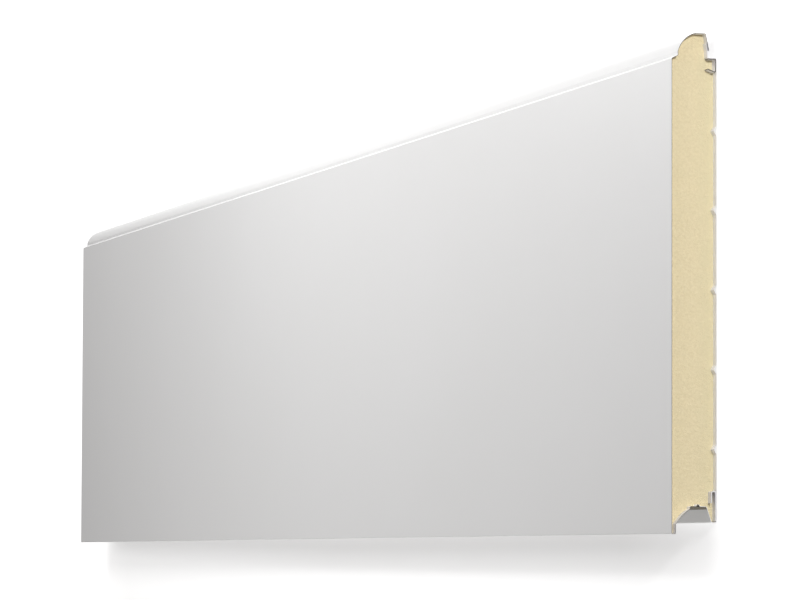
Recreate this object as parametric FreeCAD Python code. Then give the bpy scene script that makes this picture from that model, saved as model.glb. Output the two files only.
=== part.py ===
"""Insulated sandwich panel with a tongue edge and a groove edge, lying on its ribbed inner face.

Two roll-formed steel skins enclose a core of rigid foam. The panel stacks with others of its
kind: the rounded tongue along one long edge goes into the groove along the other, up to a soft
seal under the groove's ceiling. Two folded steel strips stand behind the inner skin, where
hinges and brackets are screwed on.

Frame: X along the panel, Y across it towards the tongue, Z up from the inner face to the
smooth outer face. Origin at the middle of the panel's underside.

Every section is drawn by depth, measured inwards from the outer face, and height, measured
from the bottom of the groove edge's hem towards the tongue. Lengths are in millimetres.
"""
import FreeCAD, Part
import math
import os

# Overall sizes
LENGTH = 3000.0
COVER = 500.0                # height that one panel covers, hem to shoulder
THICKNESS = 50.0

# Sheets and core
OUTER_SHEET = 0.5
INNER_SHEET = 0.5
STRIP_SHEET = 1.0
BEND = 1.0                   # inside radius of every sharp bend
CORE_SETBACK = 10.0          # foam stops short of the skins at both ends

# Hem and return leg of the outer skin, on the groove edge
HEM_WIDTH = 4.7
LEG_TOP = 10.2

# Groove between the return leg and the inner skin's lip
SLOPE_RUN = 15.9             # depth covered by the curved slope
SLOPE_TOP = 25.9             # height of the slope's head
SLOPE_RADIUS = 36.0
SLOPE_FOOT_ANGLE = 54.0      # degrees from level, at the return leg
SLOPE_HEAD_ANGLE = 30.0      # degrees from level, under the ceiling's step
CEILING = 28.6               # the ceiling is stepped up above the slope's head
SEAM_RISE = 2.2              # the skins' edges turn up into a peak in the ceiling
SEAM_RUN = 1.5               # sideways run of each turned edge
SEAM_GAP = 0.8               # opening left between the two edges

# Inner skin's lip, beside the groove
LIP_FOOT = 12.0              # height of the lip's underside
LIP_WIDTH = 5.9              # flat underside, from the inner face
LIP_WALL_TOP = 11.8          # where the lip's wall meets the ceiling, from the inner face

# Shoulder and tongue
SHOULDER_DIP = 0.6           # the face ends this far below the cover height
SHOULDER_RISE = 3.2
SHOULDER_RUN = 6.8
TONGUE_RISE = 26.6           # above the cover height
RISER_TOP = 6.9              # where the tongue's curve starts, above the cover height
TONGUE_RUN = 18.7            # depth covered by the curve
TONGUE_RADIUS = 28.5
TONGUE_FOOT_ANGLE = 73.0     # degrees from level, at the riser
TONGUE_HEAD_ANGLE = 19.0     # degrees from level, at the flat top
TONGUE_BACK = 12.0           # rear corner of the tongue's top, from the inner face
BACK_FLANGE_DROP = 18.3      # height of the sloping flange behind the tongue
BACK_FLANGE_RUN = 3.8        # how far its foot comes back towards the inner face

# Ledge behind the tongue, and the inner skin's upstand lapped inside the back flange
LEDGE_RISE = 0.7             # above the cover height
UPSTAND = 7.6                # straight part, above the ledge
LAP = 8.0                    # height lapped inside the back flange
LAP_GAP = 1.4                # thermal gap between the two skins, at the flange's foot

# V grooves rolled into the inner skin
V_COUNT = 5
V_PITCH = 83.8
V_WIDTH = 10.0
V_DEPTH = 3.0

# Folded steel strips behind the inner skin
LOWER_STRIP_TOP = 45.0       # height of the hook's crown
HOOK_WIDTH = 5.8
HOOK_LEG = 12.6
UPPER_STRIP_TOP_FLANGE = 8.6
UPPER_STRIP_WEB = 15.6
UPPER_STRIP_LOW_FLANGE = 9.2
UPPER_STRIP_LOW_RISE = 3.8   # the low flange slopes back up by this much

TONGUE_TOP = COVER + TONGUE_RISE
HEM_Y = -TONGUE_TOP / 2      # centres the whole width on the origin


# ---- Sheet sections -------------------------------------------------------------------------

def unit(a, b):
    """Direction from a to b."""
    run, rise = b[0] - a[0], b[1] - a[1]
    size = math.hypot(run, rise)
    return run / size, rise / size


def meeting(a, da, b, db):
    """Point where the line through a along da meets the line through b along db."""
    cross = da[0] * db[1] - da[1] * db[0]
    along = ((b[0] - a[0]) * db[1] - (b[1] - a[1]) * db[0]) / cross
    return a[0] + da[0] * along, a[1] + da[1] * along


def beside(route, distance):
    """The route's corners, moved to the right of its direction of travel."""
    points = [(corner[0], corner[1]) for corner in route]
    runs = [unit(a, b) for a, b in zip(points, points[1:])]
    shifted = []
    for index, point in enumerate(points):
        before = runs[max(index - 1, 0)]
        after = runs[min(index, len(runs) - 1)]
        on_before = (point[0] + before[1] * distance, point[1] - before[0] * distance)
        on_after = (point[0] + after[1] * distance, point[1] - after[0] * distance)
        if before == after:
            shifted.append(on_before)
        else:
            shifted.append(meeting(on_before, before, on_after, after))
    return shifted


def bend_radii(route, sheet):
    """Radius at each corner of the route and of its far side, for a sheet on the right."""
    near, far = [], []
    for index, corner in enumerate(route):
        inside = corner[2] if len(corner) > 2 else BEND
        if index in (0, len(route) - 1):
            near.append(0.0)
            far.append(0.0)
            continue
        into = unit(route[index - 1], corner)
        away = unit(corner, route[index + 1])
        turns_left = into[0] * away[1] - into[1] * away[0] > 0
        near.append(inside if turns_left else inside + sheet)
        far.append(inside + sheet if turns_left else inside)
    return near, far


def placed(point):
    """Depth and height as a point of the panel's frame."""
    return FreeCAD.Vector(0, HEM_Y + point[1], THICKNESS - point[0])


def rounded_outline(corners, radii):
    """Closed face through the corners, each rounded by its radius."""
    joints = []
    for index, corner in enumerate(corners):
        back = unit(corner, corners[index - 1])
        ahead = unit(corner, corners[(index + 1) % len(corners)])
        cosine = max(-1.0, min(1.0, back[0] * ahead[0] + back[1] * ahead[1]))
        half = math.acos(cosine) / 2
        radius = radii[index]
        if radius == 0:
            joints.append((corner, None, corner))
            continue
        tangent = radius / math.tan(half)
        middle = (back[0] + ahead[0], back[1] + ahead[1])
        size = math.hypot(*middle)
        crown = radius / math.sin(half) - radius
        joints.append((
            (corner[0] + back[0] * tangent, corner[1] + back[1] * tangent),
            (corner[0] + middle[0] / size * crown, corner[1] + middle[1] / size * crown),
            (corner[0] + ahead[0] * tangent, corner[1] + ahead[1] * tangent)))
    edges = []
    for index, (start, crown, end) in enumerate(joints):
        if crown:
            edges.append(Part.Arc(placed(start), placed(crown), placed(end)).toShape())
        following = joints[(index + 1) % len(joints)][0]
        edges.append(Part.makeLine(placed(end), placed(following)))
    return Part.Face(Part.Wire(edges))


def sheet_section(route, sheet):
    """Section of a sheet whose exposed side follows the route, with its metal on the right."""
    near, far = bend_radii(route, sheet)
    other_side = beside(route, sheet)
    corners = [(corner[0], corner[1]) for corner in route] + other_side[::-1]
    return rounded_outline(corners, near + far[::-1])


def extruded(section, setback=0.0):
    """The section drawn out along the panel, short of each end by the setback."""
    length = LENGTH - 2 * setback
    solid = section.extrude(FreeCAD.Vector(length, 0, 0))
    solid.translate(FreeCAD.Vector(-length / 2, 0, 0))
    return solid


# ---- Routes of the exposed sides ------------------------------------------------------------

def groove_seam():
    """Depths of the curved slope's head, the seam and the lip's wall along the ceiling."""
    slope_head = HEM_WIDTH + SLOPE_RUN
    wall = THICKNESS - LIP_WALL_TOP
    return slope_head, (slope_head + wall) / 2, wall


def curve(foot, foot_angle, head, head_angle, radius):
    """Rounded corner of a curve that rises from its foot to its head, flattening as it goes."""
    leaving = math.radians(foot_angle)
    arriving = math.radians(head_angle)
    corner = meeting(foot, (math.cos(leaving), math.sin(leaving)),
                     head, (math.cos(arriving), math.sin(arriving)))
    return corner[0], corner[1], radius


def outer_route():
    """Outer skin, from its turned edge in the groove, round the hem and up over the tongue."""
    slope_head, seam, _ = groove_seam()
    tongue_head = SHOULDER_RUN + TONGUE_RUN
    return [
        (seam - SEAM_GAP / 2, CEILING + SEAM_RISE),
        (seam - SEAM_GAP / 2 - SEAM_RUN, CEILING),
        (slope_head, CEILING),
        (slope_head, SLOPE_TOP),
        curve((HEM_WIDTH, LEG_TOP), SLOPE_FOOT_ANGLE,
              (slope_head, SLOPE_TOP), SLOPE_HEAD_ANGLE, SLOPE_RADIUS),
        (HEM_WIDTH, LEG_TOP),
        (HEM_WIDTH, 0.0),
        (0.0, 0.0),
        (0.0, COVER - SHOULDER_DIP),
        (SHOULDER_RUN, COVER - SHOULDER_DIP + SHOULDER_RISE),
        (SHOULDER_RUN, COVER + RISER_TOP),
        curve((SHOULDER_RUN, COVER + RISER_TOP), TONGUE_FOOT_ANGLE,
              (tongue_head, TONGUE_TOP), TONGUE_HEAD_ANGLE, TONGUE_RADIUS - OUTER_SHEET),
        (tongue_head, TONGUE_TOP),
        (THICKNESS - TONGUE_BACK, TONGUE_TOP),
        (THICKNESS - TONGUE_BACK + BACK_FLANGE_RUN, TONGUE_TOP - BACK_FLANGE_DROP),
    ]


def neck_depth():
    """Depth of the inner skin's upstand, inside the foot of the back flange."""
    flange_foot = THICKNESS - TONGUE_BACK + BACK_FLANGE_RUN
    return flange_foot - OUTER_SHEET - LAP_GAP


def lap_route():
    """Upper end of the inner skin, leaning parallel to the back flange above its foot."""
    neck = neck_depth()
    bend_height = COVER + LEDGE_RISE + UPSTAND
    slope = BACK_FLANGE_RUN / BACK_FLANGE_DROP
    return [(neck - slope * LAP, bend_height + LAP), (neck, bend_height)]


def v_grooves():
    """Corners of the V grooves, from the tongue side down, centred on the inner face."""
    face_middle = (COVER + LEDGE_RISE + LIP_FOOT) / 2
    corners = []
    for index in range(V_COUNT):
        height = face_middle + V_PITCH * ((V_COUNT - 1) / 2 - index)
        corners += [(THICKNESS, height + V_WIDTH / 2),
                    (THICKNESS - V_DEPTH, height),
                    (THICKNESS, height - V_WIDTH / 2)]
    return corners


def inner_route():
    """Inner skin, from its lapped end, over the ledge, down the face and round the lip."""
    _, seam, wall = groove_seam()
    ledge = COVER + LEDGE_RISE
    return lap_route() + [
        (neck_depth(), ledge),
        (THICKNESS, ledge),
    ] + v_grooves() + [
        (THICKNESS, LIP_FOOT),
        (THICKNESS - LIP_WIDTH, LIP_FOOT),
        (wall, CEILING),
        (seam + SEAM_GAP / 2 + SEAM_RUN, CEILING),
        (seam + SEAM_GAP / 2, CEILING + SEAM_RISE),
    ]


def lower_strip_route():
    """Flat strip up from the lip, with its top edge folded over into a hook."""
    back = THICKNESS - INNER_SHEET
    hook = back - HOOK_WIDTH
    return [
        (hook, LOWER_STRIP_TOP - HOOK_LEG),
        (hook, LOWER_STRIP_TOP),
        (back, LOWER_STRIP_TOP),
        (back, LIP_FOOT + INNER_SHEET + BEND),
    ]


def upper_strip_route():
    """Channel under the ledge, with its low flange sloping back up into the foam."""
    back = THICKNESS - INNER_SHEET
    top = COVER + LEDGE_RISE - INNER_SHEET
    low = top - UPPER_STRIP_WEB
    return [
        (back - UPPER_STRIP_TOP_FLANGE, top),
        (back, top),
        (back, low),
        (back - UPPER_STRIP_LOW_FLANGE, low + UPPER_STRIP_LOW_RISE),
    ]


# ---- Pieces ---------------------------------------------------------------------------------

def outer_skin():
    return extruded(sheet_section(outer_route(), OUTER_SHEET))


def inner_skin():
    return extruded(sheet_section(inner_route(), INNER_SHEET))


def lower_hinge_strip():
    return extruded(sheet_section(lower_strip_route(), STRIP_SHEET))


def upper_hinge_strip():
    return extruded(sheet_section(upper_strip_route(), STRIP_SHEET))


def groove_seal():
    """Soft strip that fills the step between the groove's ceiling and the slope's head."""
    slope_head, _, wall = groove_seam()
    down_wall = unit((wall, CEILING), (THICKNESS - LIP_WIDTH, LIP_FOOT))
    on_wall = meeting((wall, CEILING), down_wall, (slope_head, SLOPE_TOP), (1.0, 0.0))
    corners = [(slope_head, SLOPE_TOP), (slope_head, CEILING), (wall, CEILING), on_wall]
    return extruded(rounded_outline(corners, [0.0, BEND, BEND, 0.0]))


def foam_core():
    """Foam filling everything between the skins, the hem included, cut round the strips."""
    outer = outer_route()
    inner = inner_route()
    outer_far = beside(outer, OUTER_SHEET)
    inner_far = beside(inner, INNER_SHEET)
    lap_top = inner[0]
    back_flange = unit(outer_far[-1], outer_far[-2])
    on_flange = meeting(outer_far[-1], back_flange, lap_top, (1.0, 0.0))
    corners = outer_far[:-1] + [on_flange, lap_top] + inner_far
    radii = (bend_radii(outer, OUTER_SHEET)[1][:-1] + [0.0, 0.0]
             + bend_radii(inner, INNER_SHEET)[1])
    section = rounded_outline(corners, radii)
    strips = [sheet_section(lower_strip_route(), STRIP_SHEET),
              sheet_section(upper_strip_route(), STRIP_SHEET)]
    main_body = max(section.cut(strips).Faces, key=lambda face: face.Area)
    return extruded(main_body, CORE_SETBACK)


PIECES = {
    "outer_skin": outer_skin,
    "inner_skin": inner_skin,
    "foam_core": foam_core,
    "lower_hinge_strip": lower_hinge_strip,
    "upper_hinge_strip": upper_hinge_strip,
    "groove_seal": groove_seal,
}

os.makedirs("parts", exist_ok=True)
for name, make in PIECES.items():
    make().exportStep(f"parts/{name}.step")
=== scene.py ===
"""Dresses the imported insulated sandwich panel: skins, strips, cut foam, finishes, light and camera.

Frame, in metres: X along the panel, Y across it towards the tongue, Z up from the ribbed inner face to
the smooth outer face. The panel lies on its inner face. Sections are drawn in millimetres, by depth from
the outer face and height from the groove edge's hem, as in the part's source, and `placed` turns them
into points of the frame.
"""

import math
import random

import bpy
import numpy as np
from mathutils import Matrix, Quaternion, Vector, noise
from mathutils.geometry import delaunay_2d_cdt


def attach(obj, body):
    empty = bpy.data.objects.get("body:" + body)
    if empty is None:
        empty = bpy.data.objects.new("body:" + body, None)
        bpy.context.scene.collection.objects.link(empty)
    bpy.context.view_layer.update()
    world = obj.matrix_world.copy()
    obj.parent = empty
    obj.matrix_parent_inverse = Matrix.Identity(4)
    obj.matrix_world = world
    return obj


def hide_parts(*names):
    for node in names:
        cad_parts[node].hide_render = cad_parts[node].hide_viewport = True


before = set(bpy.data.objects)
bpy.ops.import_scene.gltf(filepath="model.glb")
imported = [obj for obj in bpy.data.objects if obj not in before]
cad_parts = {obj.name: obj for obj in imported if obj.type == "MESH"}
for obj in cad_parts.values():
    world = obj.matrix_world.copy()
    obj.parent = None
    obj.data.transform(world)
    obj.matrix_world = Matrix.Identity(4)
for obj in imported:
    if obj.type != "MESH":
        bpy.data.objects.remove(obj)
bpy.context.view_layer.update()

MM = 0.001

# ---- Sizes of the section, in millimetres, as in the part's source ---------------------------

LENGTH = 3000.0
COVER = 500.0
THICKNESS = 50.0

OUTER_SHEET = 0.5
INNER_SHEET = 0.5
STRIP_SHEET = 1.0
BEND = 1.0                   # inside radius of every sharp bend
CORE_SETBACK = 10.0          # foam stops short of the skins at both ends

HEM_WIDTH = 4.7
LEG_TOP = 10.2

SLOPE_RUN = 15.9
SLOPE_TOP = 25.9
SLOPE_RADIUS = 36.0
SLOPE_FOOT_ANGLE = 54.0
SLOPE_HEAD_ANGLE = 30.0
CEILING = 28.6
SEAM_RISE = 2.2
SEAM_RUN = 1.5
SEAM_GAP = 0.8

LIP_FOOT = 12.0
LIP_WIDTH = 5.9
LIP_WALL_TOP = 11.8

SHOULDER_DIP = 0.6
SHOULDER_RISE = 3.2
SHOULDER_RUN = 6.8
TONGUE_RISE = 26.6
RISER_TOP = 6.9
TONGUE_RUN = 18.7
TONGUE_RADIUS = 28.5
TONGUE_FOOT_ANGLE = 73.0
TONGUE_HEAD_ANGLE = 19.0
TONGUE_BACK = 12.0
BACK_FLANGE_DROP = 18.3
BACK_FLANGE_RUN = 3.8

LEDGE_RISE = 0.7
UPSTAND = 7.6
LAP = 8.0
LAP_GAP = 1.4

V_COUNT = 5
V_PITCH = 83.8
V_WIDTH = 10.0
V_DEPTH = 3.0

LOWER_STRIP_TOP = 45.0
HOOK_WIDTH = 5.8
HOOK_LEG = 12.6
UPPER_STRIP_TOP_FLANGE = 8.6
UPPER_STRIP_WEB = 15.6
UPPER_STRIP_LOW_FLANGE = 9.2
UPPER_STRIP_LOW_RISE = 3.8

TONGUE_TOP = COVER + TONGUE_RISE
HEM_Y = -TONGUE_TOP / 2

# ---- Fineness of the meshes ------------------------------------------------------------------

ARC_STEP = math.radians(7)   # most that one facet of a bend turns
CELL_SPACING = 1.7           # distance between points of the foam's cut faces, mm
SCATTER = 0.12 * CELL_SPACING  # most that a point lies off its place in its row, mm
SCATTER_SEED = 5
SHARP_ANGLE = math.radians(30)
FLATS_WEIGHT = 100           # how far large faces decide the normals beside them
CUT_ROUGHNESS = 0.22         # how far the saw left those points in or out, mm
COARSE_MARKS = 0.45          # the saw's marks, per mm
FINE_MARKS = 1.1
FINE_SHARE = 0.6
PIT_DEPTH = 0.9              # torn cells, mm
PIT_SPREAD = 0.33            # how often cells are torn, per mm
PIT_LEVEL = 0.42             # noise above this level is a torn cell
PIT_SHIFT = Vector((40, 7, 3))
FACE_SEED = 11.0             # sets the two sawn ends apart
SKIN_SHADE_DEPTH = 20.0           # depth over the inner skin within which the foam is painted darker, a painted shade, mm


# ---- Sections --------------------------------------------------------------------------------

def unit(a, b):
    """Direction from a to b."""
    run, rise = b[0] - a[0], b[1] - a[1]
    size = math.hypot(run, rise)
    return run / size, rise / size


def meeting(a, da, b, db):
    """Point where the line through a along da meets the line through b along db."""
    cross = da[0] * db[1] - da[1] * db[0]
    along = ((b[0] - a[0]) * db[1] - (b[1] - a[1]) * db[0]) / cross
    return a[0] + da[0] * along, a[1] + da[1] * along


def beside(route, distance):
    """The route's corners, moved to the right of its direction of travel."""
    points = [(corner[0], corner[1]) for corner in route]
    runs = [unit(a, b) for a, b in zip(points, points[1:])]
    shifted = []
    for index, point in enumerate(points):
        before = runs[max(index - 1, 0)]
        after = runs[min(index, len(runs) - 1)]
        on_before = (point[0] + before[1] * distance, point[1] - before[0] * distance)
        on_after = (point[0] + after[1] * distance, point[1] - after[0] * distance)
        if before == after:
            shifted.append(on_before)
        else:
            shifted.append(meeting(on_before, before, on_after, after))
    return shifted


def bend_radii(route, sheet):
    """Radius at each corner of the route and of its far side, for a sheet on the right."""
    near, far = [], []
    for index, corner in enumerate(route):
        inside = corner[2] if len(corner) > 2 else BEND
        if index in (0, len(route) - 1):
            near.append(0.0)
            far.append(0.0)
            continue
        into = unit(route[index - 1], corner)
        away = unit(corner, route[index + 1])
        turns_left = into[0] * away[1] - into[1] * away[0] > 0
        near.append(inside if turns_left else inside + sheet)
        far.append(inside + sheet if turns_left else inside)
    return near, far


def bend_points(before, corner, after, radius):
    """Points of the arc that rounds the corner between its two neighbours."""
    if radius == 0:
        return [(corner[0], corner[1])]
    into = unit(before, corner)
    away = unit(corner, after)
    turn = math.atan2(into[0] * away[1] - into[1] * away[0], into[0] * away[0] + into[1] * away[1])
    tangent = radius * math.tan(abs(turn) / 2)
    start = (corner[0] - into[0] * tangent, corner[1] - into[1] * tangent)
    side = math.copysign(1, turn)
    centre = (start[0] - side * into[1] * radius, start[1] + side * into[0] * radius)
    facets = max(1, math.ceil(abs(turn) / ARC_STEP))
    points = []
    for facet in range(facets + 1):
        swept = turn * facet / facets
        cosine, sine = math.cos(swept), math.sin(swept)
        out = (start[0] - centre[0], start[1] - centre[1])
        points.append((centre[0] + out[0] * cosine - out[1] * sine,
                       centre[1] + out[0] * sine + out[1] * cosine))
    return points


def rounded_path(corners, radii):
    """Open line through the corners, each rounded by its radius."""
    points = [(corners[0][0], corners[0][1])]
    for index in range(1, len(corners) - 1):
        points += bend_points(corners[index - 1], corners[index], corners[index + 1], radii[index])
    points.append((corners[-1][0], corners[-1][1]))
    return points


def rounded_outline(corners, radii):
    """Closed line through the corners, each rounded by its radius."""
    points = []
    for index, corner in enumerate(corners):
        points += bend_points(corners[index - 1], corner, corners[(index + 1) % len(corners)], radii[index])
    return points


def sheet_sides(route, sheet):
    """The exposed side and the far side of a sheet, with as many points on each."""
    near, far = bend_radii(route, sheet)
    return rounded_path(route, near), rounded_path(beside(route, sheet), far)


def sheet_outline(route, sheet):
    """Closed outline of a sheet's section."""
    exposed, hidden = sheet_sides(route, sheet)
    return exposed + hidden[::-1]


def placed(x, point):
    """A point of the section at a station along the panel, in the frame's metres."""
    return Vector((x, HEM_Y + point[1], THICKNESS - point[0])) * MM


# ---- Routes of the exposed sides -------------------------------------------------------------

def groove_seam():
    """Depths of the curved slope's head, the seam and the lip's wall along the ceiling."""
    slope_head = HEM_WIDTH + SLOPE_RUN
    wall = THICKNESS - LIP_WALL_TOP
    return slope_head, (slope_head + wall) / 2, wall


def curve(foot, foot_angle, head, head_angle, radius):
    """Rounded corner of a curve that rises from its foot to its head, flattening as it goes."""
    leaving = math.radians(foot_angle)
    arriving = math.radians(head_angle)
    corner = meeting(foot, (math.cos(leaving), math.sin(leaving)),
                     head, (math.cos(arriving), math.sin(arriving)))
    return corner[0], corner[1], radius


def outer_route():
    """Outer skin, from its turned edge in the groove, round the hem and up over the tongue."""
    slope_head, seam, _ = groove_seam()
    tongue_head = SHOULDER_RUN + TONGUE_RUN
    return [
        (seam - SEAM_GAP / 2, CEILING + SEAM_RISE),
        (seam - SEAM_GAP / 2 - SEAM_RUN, CEILING),
        (slope_head, CEILING),
        (slope_head, SLOPE_TOP),
        curve((HEM_WIDTH, LEG_TOP), SLOPE_FOOT_ANGLE,
              (slope_head, SLOPE_TOP), SLOPE_HEAD_ANGLE, SLOPE_RADIUS),
        (HEM_WIDTH, LEG_TOP),
        (HEM_WIDTH, 0.0),
        (0.0, 0.0),
        (0.0, COVER - SHOULDER_DIP),
        (SHOULDER_RUN, COVER - SHOULDER_DIP + SHOULDER_RISE),
        (SHOULDER_RUN, COVER + RISER_TOP),
        curve((SHOULDER_RUN, COVER + RISER_TOP), TONGUE_FOOT_ANGLE,
              (tongue_head, TONGUE_TOP), TONGUE_HEAD_ANGLE, TONGUE_RADIUS - OUTER_SHEET),
        (tongue_head, TONGUE_TOP),
        (THICKNESS - TONGUE_BACK, TONGUE_TOP),
        (THICKNESS - TONGUE_BACK + BACK_FLANGE_RUN, TONGUE_TOP - BACK_FLANGE_DROP),
    ]


def neck_depth():
    """Depth of the inner skin's upstand, inside the foot of the back flange."""
    return THICKNESS - TONGUE_BACK + BACK_FLANGE_RUN - OUTER_SHEET - LAP_GAP


def lap_route():
    """Upper end of the inner skin, leaning parallel to the back flange above its foot."""
    neck = neck_depth()
    bend_height = COVER + LEDGE_RISE + UPSTAND
    slope = BACK_FLANGE_RUN / BACK_FLANGE_DROP
    return [(neck - slope * LAP, bend_height + LAP), (neck, bend_height)]


def v_grooves():
    """Corners of the V grooves, from the tongue side down, centred on the inner face."""
    face_middle = (COVER + LEDGE_RISE + LIP_FOOT) / 2
    corners = []
    for index in range(V_COUNT):
        height = face_middle + V_PITCH * ((V_COUNT - 1) / 2 - index)
        corners += [(THICKNESS, height + V_WIDTH / 2),
                    (THICKNESS - V_DEPTH, height),
                    (THICKNESS, height - V_WIDTH / 2)]
    return corners


def inner_route():
    """Inner skin, from its lapped end, over the ledge, down the face and round the lip."""
    _, seam, wall = groove_seam()
    ledge = COVER + LEDGE_RISE
    return lap_route() + [
        (neck_depth(), ledge),
        (THICKNESS, ledge),
    ] + v_grooves() + [
        (THICKNESS, LIP_FOOT),
        (THICKNESS - LIP_WIDTH, LIP_FOOT),
        (wall, CEILING),
        (seam + SEAM_GAP / 2 + SEAM_RUN, CEILING),
        (seam + SEAM_GAP / 2, CEILING + SEAM_RISE),
    ]


def lower_strip_route():
    """Flat strip up from the lip, with its top edge folded over into a hook."""
    back = THICKNESS - INNER_SHEET
    hook = back - HOOK_WIDTH
    return [
        (hook, LOWER_STRIP_TOP - HOOK_LEG),
        (hook, LOWER_STRIP_TOP),
        (back, LOWER_STRIP_TOP),
        (back, LIP_FOOT + INNER_SHEET + BEND),
    ]


def upper_strip_route():
    """Channel under the ledge, with its low flange sloping back up into the foam."""
    back = THICKNESS - INNER_SHEET
    top = COVER + LEDGE_RISE - INNER_SHEET
    low = top - UPPER_STRIP_WEB
    return [
        (back - UPPER_STRIP_TOP_FLANGE, top),
        (back, top),
        (back, low),
        (back - UPPER_STRIP_LOW_FLANGE, low + UPPER_STRIP_LOW_RISE),
    ]


def seal_outline():
    """The soft strip between the groove's ceiling and the slope's head."""
    slope_head, _, wall = groove_seam()
    down_wall = unit((wall, CEILING), (THICKNESS - LIP_WIDTH, LIP_FOOT))
    on_wall = meeting((wall, CEILING), down_wall, (slope_head, SLOPE_TOP), (1.0, 0.0))
    corners = [(slope_head, SLOPE_TOP), (slope_head, CEILING), (wall, CEILING), on_wall]
    return rounded_outline(corners, [0.0, BEND, BEND, 0.0])


def foam_outline():
    """The space between the skins, the hem included."""
    outer, inner = outer_route(), inner_route()
    outer_far = beside(outer, OUTER_SHEET)
    inner_far = beside(inner, INNER_SHEET)
    lap_top = inner[0]
    back_flange = unit(outer_far[-1], outer_far[-2])
    on_flange = meeting(outer_far[-1], back_flange, lap_top, (1.0, 0.0))
    corners = outer_far[:-1] + [on_flange, lap_top] + inner_far
    radii = (bend_radii(outer, OUTER_SHEET)[1][:-1] + [0.0, 0.0]
             + bend_radii(inner, INNER_SHEET)[1])
    return rounded_outline(corners, radii)


# ---- Meshes ----------------------------------------------------------------------------------

def new_piece(name, vertices, faces, materials, face_materials, node):
    """A piece of the panel that stands for a CAD node."""
    mesh = bpy.data.meshes.new(name)
    mesh.from_pydata(vertices, [], faces)
    for material in materials:
        mesh.materials.append(material)
    mesh.polygons.foreach_set("material_index", face_materials)
    mesh.polygons.foreach_set("use_smooth", [True] * len(faces))
    mesh.set_sharp_from_angle(angle=SHARP_ANGLE)
    mesh.update()
    piece = bpy.data.objects.new(name, mesh)
    bpy.context.scene.collection.objects.link(piece)
    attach(piece, "root")
    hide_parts(node)
    return piece


def even_normals(piece):
    """Keeps the wide flats evenly lit beside their bends."""
    modifier = piece.modifiers.new("flats", "WEIGHTED_NORMAL")
    modifier.keep_sharp = True
    modifier.weight = FLATS_WEIGHT


EXPOSED, HIDDEN, CUT = range(3)


def sheet_piece(name, route, sheet, materials, node):
    """A folded sheet along the whole panel, with its exposed side, its hidden side and its cut edges."""
    exposed, hidden = sheet_sides(route, sheet)
    count = len(exposed)
    ring = exposed + hidden[::-1]
    ends = (-LENGTH / 2, LENGTH / 2)
    vertices = [placed(x, point) for x in ends for point in ring]
    faces, face_materials = [], []
    size = len(ring)
    for index in range(size):
        following = (index + 1) % size
        faces.append((index, following, size + following, size + index))
        if index < count - 1:
            face_materials.append(EXPOSED)
        elif count <= index < size - 1:
            face_materials.append(HIDDEN)
        else:
            face_materials.append(CUT)
    for index in range(count - 1):
        across = size - 1 - index
        faces.append((index, across, across - 1, index + 1))
        faces.append((size + index, size + index + 1, size + across - 1, size + across))
        face_materials += [CUT, CUT]
    piece = new_piece(name, vertices, faces, materials, face_materials, node)
    even_normals(piece)
    return piece


def seal_piece(materials):
    """The seal along the whole panel."""
    outline = seal_outline()
    size = len(outline)
    vertices = [placed(x, point) for x in (-LENGTH / 2, LENGTH / 2) for point in outline]
    faces = [(index, (index + 1) % size, size + (index + 1) % size, size + index) for index in range(size)]
    faces.append(tuple(reversed(range(size))))
    faces.append(tuple(range(size, 2 * size)))
    new_piece("groove_seal_strip", vertices, faces, materials, [0] * len(faces), "groove_seal")


def distance_to_outline(points, outline):
    """Each point's distance to the nearest edge of a closed outline."""
    points = np.array(points)
    nearest = np.full(len(points), np.inf)
    for a, b in zip(np.array(outline), np.array(outline[1:] + outline[:1])):
        run = b - a
        along = np.clip(((points - a) @ run) / max(run @ run, 1e-12), 0, 1)
        nearest = np.minimum(nearest, np.linalg.norm(points - a - along[:, None] * run, axis=1))
    return nearest


def scattered_points(outline):
    """Points over the outline's box in staggered rows, each a little off its place, the same each run."""
    chance = random.Random(SCATTER_SEED)
    depths = [point[0] for point in outline]
    heights = [point[1] for point in outline]
    rise = CELL_SPACING * math.sqrt(3) / 2
    points = []
    for row in range(int((max(heights) - min(heights)) / rise)):
        for column in range(int((max(depths) - min(depths)) / CELL_SPACING)):
            depth = min(depths) + (column + 0.5 * (row % 2) + 0.5) * CELL_SPACING
            height = min(heights) + (row + 0.5) * rise
            points.append((depth + chance.uniform(-SCATTER, SCATTER),
                           height + chance.uniform(-SCATTER, SCATTER)))
    return points


def counterclockwise(loop):
    """The closed loop, turning left."""
    area = sum(a[0] * b[1] - b[0] * a[1] for a, b in zip(loop, loop[1:] + loop[:1]))
    return loop if area > 0 else loop[::-1]


def largest_patch(triangles):
    """The triangles that join, edge to edge, into the largest patch."""
    beside_edge = {}
    for index, triangle in enumerate(triangles):
        for a, b in zip(triangle, triangle[1:] + triangle[:1]):
            beside_edge.setdefault(frozenset((a, b)), []).append(index)
    left = set(range(len(triangles)))
    best = []
    while left:
        patch, queue = [], [left.pop()]
        while queue:
            index = queue.pop()
            patch.append(index)
            triangle = triangles[index]
            for a, b in zip(triangle, triangle[1:] + triangle[:1]):
                for other in beside_edge[frozenset((a, b))]:
                    if other in left:
                        left.remove(other)
                        queue.append(other)
        best = max(best, patch, key=len)
    return [triangles[index] for index in best]


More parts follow.
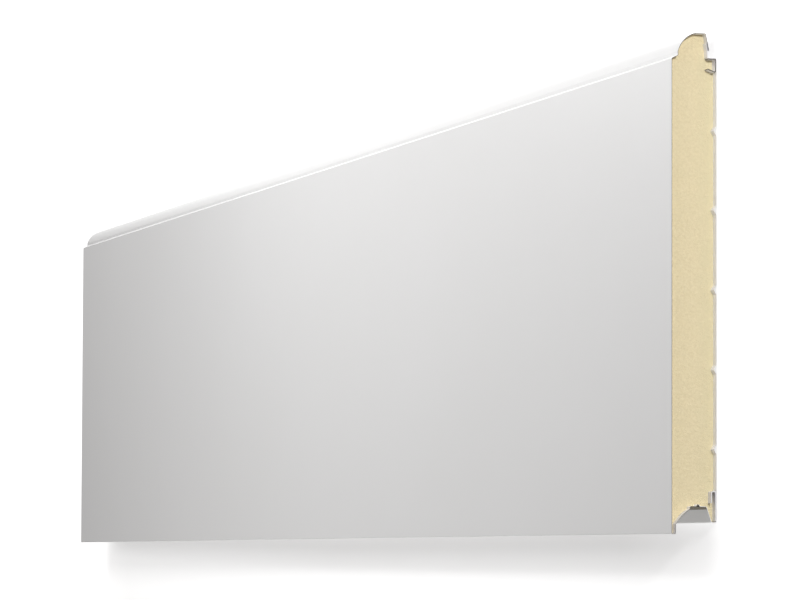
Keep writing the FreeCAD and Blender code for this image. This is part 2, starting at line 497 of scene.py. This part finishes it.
def foam_face():
    """Points and triangles of the foam's section, cut round the strips."""
    outline = foam_outline()
    cut_out = [sheet_outline(lower_strip_route(), STRIP_SHEET),
               sheet_outline(upper_strip_route(), STRIP_SHEET)]
    scattered = scattered_points(outline)
    inside = [point for point, gap in zip(scattered, distance_to_outline(scattered, outline))
              if gap > CELL_SPACING / 3]
    points, loops = [], []
    for loop in [outline] + cut_out:
        loops.append(list(range(len(points), len(points) + len(loop))))
        points += counterclockwise(loop)
    points += inside
    found = delaunay_2d_cdt([Vector(point) for point in points], [], loops, 0, 1e-6, True)
    vertices, _, triangles, _, _, sources = found
    foam = [tuple(triangle) for triangle, source in zip(triangles, sources) if list(source) == [0]]
    foam = largest_patch(foam)
    used = sorted({index for triangle in foam for index in triangle})
    renumbered = {index: place for place, index in enumerate(used)}
    return ([(vertices[index][0], vertices[index][1]) for index in used],
            [tuple(renumbered[index] for index in triangle) for triangle in foam])


def rough(point, seed):
    """How far a point of the sawn foam stands out, in millimetres."""
    place = Vector((point[0], point[1], seed))
    grain = noise.noise(place * COARSE_MARKS) + FINE_SHARE * noise.noise(place * FINE_MARKS)
    pit = max(0.0, noise.noise(place * PIT_SPREAD + PIT_SHIFT) - PIT_LEVEL)
    return CUT_ROUGHNESS * grain - PIT_DEPTH * pit


def foam_piece(materials):
    """The foam core, with its sawn ends."""
    points, triangles = foam_face()
    edges = {}
    for triangle in triangles:
        for a, b in zip(triangle, triangle[1:] + triangle[:1]):
            edges[(a, b)] = True
    border = [(a, b) for a, b in edges if (b, a) not in edges]
    on_border = {index for edge in border for index in edge}
    end = LENGTH / 2 - CORE_SETBACK
    vertices = []
    for side in (-1, 1):
        for index, point in enumerate(points):
            lift = 0.0 if index in on_border else rough(point, FACE_SEED * side)
            vertices.append(placed(side * (end + lift), point))
    count = len(points)
    faces = []
    first = triangles[0]
    a, b, c = (points[index] for index in first)
    clockwise = (b[0] - a[0]) * (c[1] - a[1]) - (b[1] - a[1]) * (c[0] - a[0]) < 0
    for triangle in triangles:
        faces.append(triangle if clockwise else triangle[::-1])
        flipped = triangle[::-1] if clockwise else triangle
        faces.append(tuple(count + index for index in flipped))
    for a, b in border:
        faces.append((b, a, count + a, count + b) if clockwise else (a, b, count + b, count + a))
    piece = new_piece("foam_core_sawn", vertices, faces, materials, [0] * len(faces), "foam_core")
    # Painted shade: how near each point lies to the inner skin, which darkens the foam there.
    skin_shade = piece.data.attributes.new("skin_shade", "FLOAT", "POINT")
    over_skin = THICKNESS - INNER_SHEET - np.array([depth for depth, _ in points])
    nearness = np.clip(1 - over_skin / SKIN_SHADE_DEPTH, 0, 1)
    skin_shade.data.foreach_set("value", np.concatenate([nearness, nearness]).astype(np.float32))
    return piece


# ---- Materials -------------------------------------------------------------------------------

class Shader:
    """A node material with the few nodes that every finish here shares."""

    def __init__(self, name):
        """A new material with one Principled surface, placed by object coordinates."""
        self.material = bpy.data.materials.new(name)
        self.material.use_nodes = True
        self.nodes = self.material.node_tree.nodes
        self.links = self.material.node_tree.links
        self.surface = self.nodes["Principled BSDF"]
        self.place = self.nodes.new("ShaderNodeTexCoord").outputs["Object"]

    def set(self, **values):
        """Values that are the same all over the surface."""
        for name, value in values.items():
            self.surface.inputs[name.replace("_", " ")].default_value = value

    def join(self, output, socket):
        """A link from an output to a socket."""
        self.links.new(output, socket)

    def grain(self, size, detail=3.0, stretch=(1, 1, 1)):
        """Soft noise whose lumps are about `size` metres across."""
        node = self.nodes.new("ShaderNodeTexNoise")
        node.inputs["Scale"].default_value = 1 / size
        node.inputs["Detail"].default_value = detail
        self.join(self.stretched(stretch), node.inputs["Vector"])
        return node.outputs["Fac"]

    def cells(self, size, output="Distance", stretch=(1, 1, 1)):
        """Cells about `size` metres across."""
        node = self.nodes.new("ShaderNodeTexVoronoi")
        node.inputs["Scale"].default_value = 1 / size
        self.join(self.stretched(stretch), node.inputs["Vector"])
        return node.outputs[output]

    def stretched(self, stretch):
        """The place, scaled along each axis."""
        if stretch == (1, 1, 1):
            return self.place
        node = self.nodes.new("ShaderNodeVectorMath")
        node.operation = "MULTIPLY"
        node.inputs[1].default_value = stretch
        self.join(self.place, node.inputs[0])
        return node.outputs[0]

    def spread(self, output, low, high, start=0.0, stop=1.0):
        """The output between start and stop, mapped to between low and high."""
        node = self.nodes.new("ShaderNodeMapRange")
        for name, value in (("From Min", start), ("From Max", stop), ("To Min", low), ("To Max", high)):
            node.inputs[name].default_value = value
        self.join(output, node.inputs["Value"])
        return node.outputs["Result"]

    def combine(self, a, b, operation="MULTIPLY"):
        """Two outputs multiplied, or combined by another operation."""
        node = self.nodes.new("ShaderNodeMath")
        node.operation = operation
        self.join(a, node.inputs[0])
        self.join(b, node.inputs[1])
        return node.outputs[0]

    def axis(self, name):
        """One coordinate of the place, in metres."""
        node = self.nodes.new("ShaderNodeSeparateXYZ")
        self.join(self.place, node.inputs[0])
        return node.outputs[name]

    def blend(self, factor, a, b):
        """Colour a where the factor is 0 and b where it is 1; each is a colour or an output."""
        node = self.nodes.new("ShaderNodeMix")
        node.data_type = "RGBA"
        self.join(factor, node.inputs["Factor"])
        for socket, colour in ((node.inputs[6], a), (node.inputs[7], b)):
            if isinstance(colour, tuple):
                socket.default_value = (*colour, 1.0)
            else:
                self.join(colour, socket)
        return node.outputs[2]

    def bump(self, height, distance, under=None):
        """Relief `distance` metres deep, laid over another relief where one is given."""
        node = self.nodes.new("ShaderNodeBump")
        node.inputs["Distance"].default_value = distance
        self.join(height, node.inputs["Height"])
        if under is not None:
            self.join(under, node.inputs["Normal"])
        return node.outputs["Normal"]

    def finish(self, colour, roughness, normal):
        """The material, once its colour, roughness and relief are joined."""
        self.join(colour, self.surface.inputs["Base Color"])
        self.join(roughness, self.surface.inputs["Roughness"])
        self.join(normal, self.surface.inputs["Normal"])
        return self.material


def coil_coating(name, colour, shade):
    """Satin paint on steel: a fine orange peel, faint unevenness in tone and gloss."""
    shader = Shader(name)
    shader.set(Metallic=0.0, IOR=1.5)
    tone = shader.blend(shader.grain(0.35, 2.0), shade, colour)
    gloss = shader.spread(shader.grain(0.05, 4.0), 0.36, 0.44)
    peel = shader.bump(shader.grain(0.0016, 2.0), 0.00003)
    waves = shader.bump(shader.grain(0.12, 1.0), 0.0004, under=peel)
    return shader.finish(tone, gloss, waves)


RESIDUE_REACH = 0.008        # how far foam clings to the skins past the core's end, m


def backing_coat(name):
    """Thin primer on the side that the foam sticks to, with a skin of foam left near the core."""
    shader = Shader(name)
    shader.set(Metallic=0.0, IOR=1.45)
    from_middle = shader.nodes.new("ShaderNodeMath")
    from_middle.operation = "ABSOLUTE"
    shader.join(shader.axis("X"), from_middle.inputs[0])
    foam_end = (LENGTH / 2 - CORE_SETBACK) * MM
    near_foam = shader.spread(from_middle.outputs[0], 1.0, 0.0, foam_end, foam_end + RESIDUE_REACH)
    patches = shader.spread(shader.grain(0.004, 4.0), 0.0, 1.0, 0.35, 0.6)
    residue = shader.combine(near_foam, patches)
    primer = shader.blend(shader.grain(0.03), (0.88, 0.88, 0.91), (0.93, 0.93, 0.96))
    tone = shader.blend(residue, primer, (0.86, 0.84, 0.78))
    matt = shader.spread(shader.grain(0.01), 0.5, 0.65)
    tooth = shader.bump(shader.grain(0.002), 0.00005)
    return shader.finish(tone, matt, shader.bump(residue, 0.0002, under=tooth))


def sheared_steel(name, shade, colour, metallic):
    """Cut edge of a sheet, dulled, with the shear's marks across it."""
    shader = Shader(name)
    shader.set(Metallic=metallic)
    marks = shader.grain(0.001, 4.0, (1, 6, 6))
    tone = shader.blend(marks, shade, colour)
    return shader.finish(tone, shader.spread(marks, 0.38, 0.58), shader.bump(marks, 0.00008))


def galvanised_steel():
    """Zinc coating with its spangle, dulled."""
    shader = Shader("galvanised_steel")
    shader.set(Metallic=0.1)
    spangle = shader.cells(0.009, "Color")
    split = shader.nodes.new("ShaderNodeSeparateColor")
    shader.join(spangle, split.inputs[0])
    tone = shader.blend(split.outputs[0], (0.72, 0.72, 0.76), (0.84, 0.84, 0.89))
    dull = shader.spread(split.outputs[1], 0.34, 0.56)
    return shader.finish(tone, dull, shader.bump(shader.grain(0.0015), 0.00006))


def cellular_rubber():
    """Dark soft strip with fine closed cells."""
    shader = Shader("cellular_rubber")
    shader.set(Metallic=0.0, IOR=1.5)
    tone = shader.blend(shader.grain(0.006), (0.115, 0.10, 0.08), (0.145, 0.13, 0.105))
    cells = shader.bump(shader.cells(0.0008), 0.0001)
    return shader.finish(tone, shader.spread(shader.grain(0.01), 0.8, 0.9), cells)


def rigid_foam():
    """Sawn polyurethane foam: fine closed cells, cloudy tone, and a painted shade that darkens it towards
    the inner skin.
    """
    shader = Shader("rigid_foam")
    shader.set(Metallic=0.0, IOR=1.4)
    cell = shader.cells(0.0011)
    clouds = shader.grain(0.018, 4.0)
    speckle = shader.spread(shader.grain(0.0028, 2.0), 0, 1, 0.3, 0.7)
    speckled = shader.blend(speckle, (0.73, 0.625, 0.395), (0.81, 0.705, 0.47))
    body = shader.blend(shader.spread(clouds, 0, 0.3, 0.3, 0.7), speckled, (0.76, 0.67, 0.44))
    dotted = shader.blend(shader.spread(cell, 0.30, 0.0, 0.0, 0.55), body, (0.60, 0.49, 0.29))
    # Painted shade: the foam is drawn darker towards the inner skin, by the attribute set on its points.
    layer = shader.nodes.new("ShaderNodeAttribute")
    layer.attribute_name = "skin_shade"
    painted_skin_shade = shader.combine(layer.outputs["Fac"], shader.spread(clouds, 0.8, 1.0, 0.3, 0.6))
    tone = shader.blend(painted_skin_shade, dotted, (0.69, 0.615, 0.40))
    walls = shader.bump(cell, 0.0004)
    torn = shader.bump(shader.grain(0.003), 0.0005, under=walls)
    return shader.finish(tone, shader.spread(clouds, 0.85, 0.95), torn)


# ---- Stage, light and camera -----------------------------------------------------------------

SKY_COLOUR = (1.0, 0.975, 0.968, 1)
SKY_STRENGTH = 0.277

# The floor, in metres. Its glow rises away from the panel, and is less in a band beside the groove's edge:
# a painted shadow, set by place on the floor, which deepens the shadow that the panel casts there.
FLOOR_HALF = 60.0
FLOOR_DROP = 0.0002          # keeps the floor off the panel's inner face
GLOW = (0.46, 0.95)          # at the panel and far from it
GLOW_RISE = (1.4, 2.6)       # distances from the panel's middle between which it rises
SHADE = 0.20                 # how much less the band glows
SHADE_INNER = (-0.27, -0.20)     # across the panel: full shade to none, under it
SHADE_OUTER = (-0.310, -0.276)   # and none to full, outside its edge
SHADE_NARROWING = 0.022          # how much nearer its outer side lies at the far end
SHADE_NARROWS = (-1.5, 0.0)
SHADE_NEAR_END = (1.2, 1.6)      # along the panel: full to none about the near end
SHADE_FAR_END = (-1.51, -1.44)   # and none to full at the far end


def painted_groove_shadow(shader):
    """Painted shadow: how much less the floor glows at each place, in a band beside the groove's edge."""
    across = shader.axis("Y")
    along = shader.axis("X")
    narrowing = shader.spread(along, SHADE_NARROWING, 0.0, *SHADE_NARROWS)
    narrower = shader.combine(across, narrowing, "SUBTRACT")
    band = shader.combine(shader.spread(across, SHADE, 0.0, *SHADE_INNER),
                          shader.spread(narrower, 0.0, 1.0, *SHADE_OUTER))
    beside_panel = shader.combine(shader.spread(along, 1.0, 0.0, *SHADE_NEAR_END),
                                  shader.spread(along, 0.0, 1.0, *SHADE_FAR_END))
    return shader.combine(band, beside_panel)


def floor():
    """Wide pale floor, bright enough to read as a white studio, with a painted shadow beside the groove's
    edge.
    """
    half = FLOOR_HALF
    mesh = bpy.data.meshes.new("floor")
    corners = [(-half, -half, 0), (half, -half, 0), (half, half, 0), (-half, half, 0)]
    mesh.from_pydata(corners, [], [(0, 1, 2, 3)])
    piece = bpy.data.objects.new("floor", mesh)
    piece.location.z = -FLOOR_DROP
    bpy.context.scene.collection.objects.link(piece)
    shader = Shader("pale_floor")
    shader.set(Roughness=0.9, Emission_Color=(1, 1, 1, 1))
    away = shader.nodes.new("ShaderNodeVectorMath")
    away.operation = "LENGTH"
    shader.join(shader.place, away.inputs[0])
    glow = shader.spread(away.outputs["Value"], *GLOW, *GLOW_RISE)
    # Painted shadow: the glow, made less in the band beside the groove's edge.
    glow_with_painted_shadow = shader.combine(glow, painted_groove_shadow(shader), "SUBTRACT")
    shader.join(glow_with_painted_shadow, shader.surface.inputs["Emission Strength"])
    tone = shader.blend(shader.grain(0.8), (0.94, 0.94, 0.94), (0.96, 0.96, 0.96))
    shader.join(tone, shader.surface.inputs["Base Color"])
    mesh.materials.append(shader.material)
    piece.visible_diffuse = False
    piece.visible_shadow = False


def studio_sky():
    """Even soft light from all round."""
    world = bpy.data.worlds.new("studio")
    bpy.context.scene.world = world
    world.use_nodes = True
    background = world.node_tree.nodes["Background"]
    background.inputs["Color"].default_value = SKY_COLOUR
    background.inputs["Strength"].default_value = SKY_STRENGTH


def area_light(name, place, aim, along, across, power):
    """A soft panel of light at a place, facing its aim: its two sides in metres, its power in watts."""
    light = bpy.data.lights.new(name, "AREA")
    light.shape = "RECTANGLE"
    light.size, light.size_y = along, across
    light.energy = power
    lamp = bpy.data.objects.new(name, light)
    away = (Vector(place) - Vector(aim)).normalized()
    up = away.cross(Vector((1, 0, 0))).normalized()
    turn = Matrix((up.cross(away), up, away)).transposed().to_4x4()
    lamp.matrix_world = Matrix.Translation(place) @ turn
    lamp.visible_camera = False
    bpy.context.scene.collection.objects.link(lamp)


def lights():
    """Soft panels of light: three from the tongue's side, one from the groove's, one before each end."""
    area_light("key", (0.90, 0.51, 0.76), (0.90, 0.10, 0.0), 2.6, 0.3, 7.2)
    area_light("wash", (-0.80, 1.20, 1.40), (-0.80, 0.0, 0.0), 1.5, 0.8, 11.9)
    area_light("low_wash", (-0.30, 2.60, 0.70), (-0.30, 0.0, 0.0), 3.0, 0.6, 41.2)
    area_light("groove_fill", (0.20, -2.00, 0.50), (0.20, -0.26, 0.02), 3.0, 0.8, 24.2)
    area_light("end_light", (4.50, 0.86, 0.34), (1.50, 0.0, 0.03), 0.2, 0.2, 69.0)
    area_light("far_end_light", (-2.70, -0.08, 0.026), (-1.50, 0.0, 0.026), 0.3, 0.03, 9.0)


CAMERA_AIM = Vector((0.4626, 0.0388, 0.050))
CAMERA_DISTANCE = 5.652
CAMERA_HEADING = math.radians(3.489)     # from straight down the panel, towards the tongue
CAMERA_DIP = math.radians(15.884)        # below level
CAMERA_ROLL = math.radians(88.834)       # the panel's width stands upright in the picture
LENS_LENGTH = 200                        # mm
SENSOR_WIDTH = 36                        # mm
CLIP_END = 200


def camera():
    """A long lens beyond the near end, looking down along the panel."""
    level = Vector((-math.cos(CAMERA_HEADING), math.sin(CAMERA_HEADING), 0))
    forward = level * math.cos(CAMERA_DIP) + Vector((0, 0, -math.sin(CAMERA_DIP)))
    lens = bpy.data.cameras.new("camera")
    lens.lens, lens.sensor_width = LENS_LENGTH, SENSOR_WIDTH
    lens.clip_end = CLIP_END
    eye = bpy.data.objects.new("camera", lens)
    eye.location = CAMERA_AIM - forward * CAMERA_DISTANCE
    eye.rotation_mode = "QUATERNION"
    eye.rotation_quaternion = forward.to_track_quat("-Z", "Y") @ Quaternion((0, 0, 1), -CAMERA_ROLL)
    bpy.context.scene.collection.objects.link(eye)
    bpy.context.scene.camera = eye
    bpy.context.scene.view_settings.view_transform = "Standard"


# ---- The panel -------------------------------------------------------------------------------

def panel():
    """The six pieces of the panel and their finishes."""
    # The near-black copy of the cut edge is painted shade: it stands for the shadow lines beside the outer
    # skin's edge and under the upper strip's flanges.
    painted_shade_cut = sheared_steel("painted_shade_sheared_steel", (0.045, 0.043, 0.04), (0.095, 0.09, 0.085), 0.5)
    bright_cut = sheared_steel("bright_sheared_steel", (0.68, 0.675, 0.69), (0.80, 0.795, 0.81), 0.0)
    backing = backing_coat("backing_coat")
    outer_paint = coil_coating("outer_paint", (0.80, 0.80, 0.80), (0.78, 0.78, 0.775))
    inner_paint = coil_coating("inner_paint", (0.82, 0.82, 0.81), (0.80, 0.80, 0.785))
    zinc = galvanised_steel()
    sheet_piece("outer_skin_formed", outer_route(), OUTER_SHEET, [outer_paint, backing, painted_shade_cut],
                "outer_skin")
    sheet_piece("inner_skin_formed", inner_route(), INNER_SHEET, [inner_paint, backing, bright_cut],
                "inner_skin")
    sheet_piece("lower_hinge_strip_formed", lower_strip_route(), STRIP_SHEET, [zinc, zinc, bright_cut],
                "lower_hinge_strip")
    sheet_piece("upper_hinge_strip_formed", upper_strip_route(), STRIP_SHEET, [zinc, zinc, painted_shade_cut],
                "upper_hinge_strip")
    seal_piece([cellular_rubber()])
    foam_piece([rigid_foam()])


camera()
floor()
studio_sky()
lights()
panel()
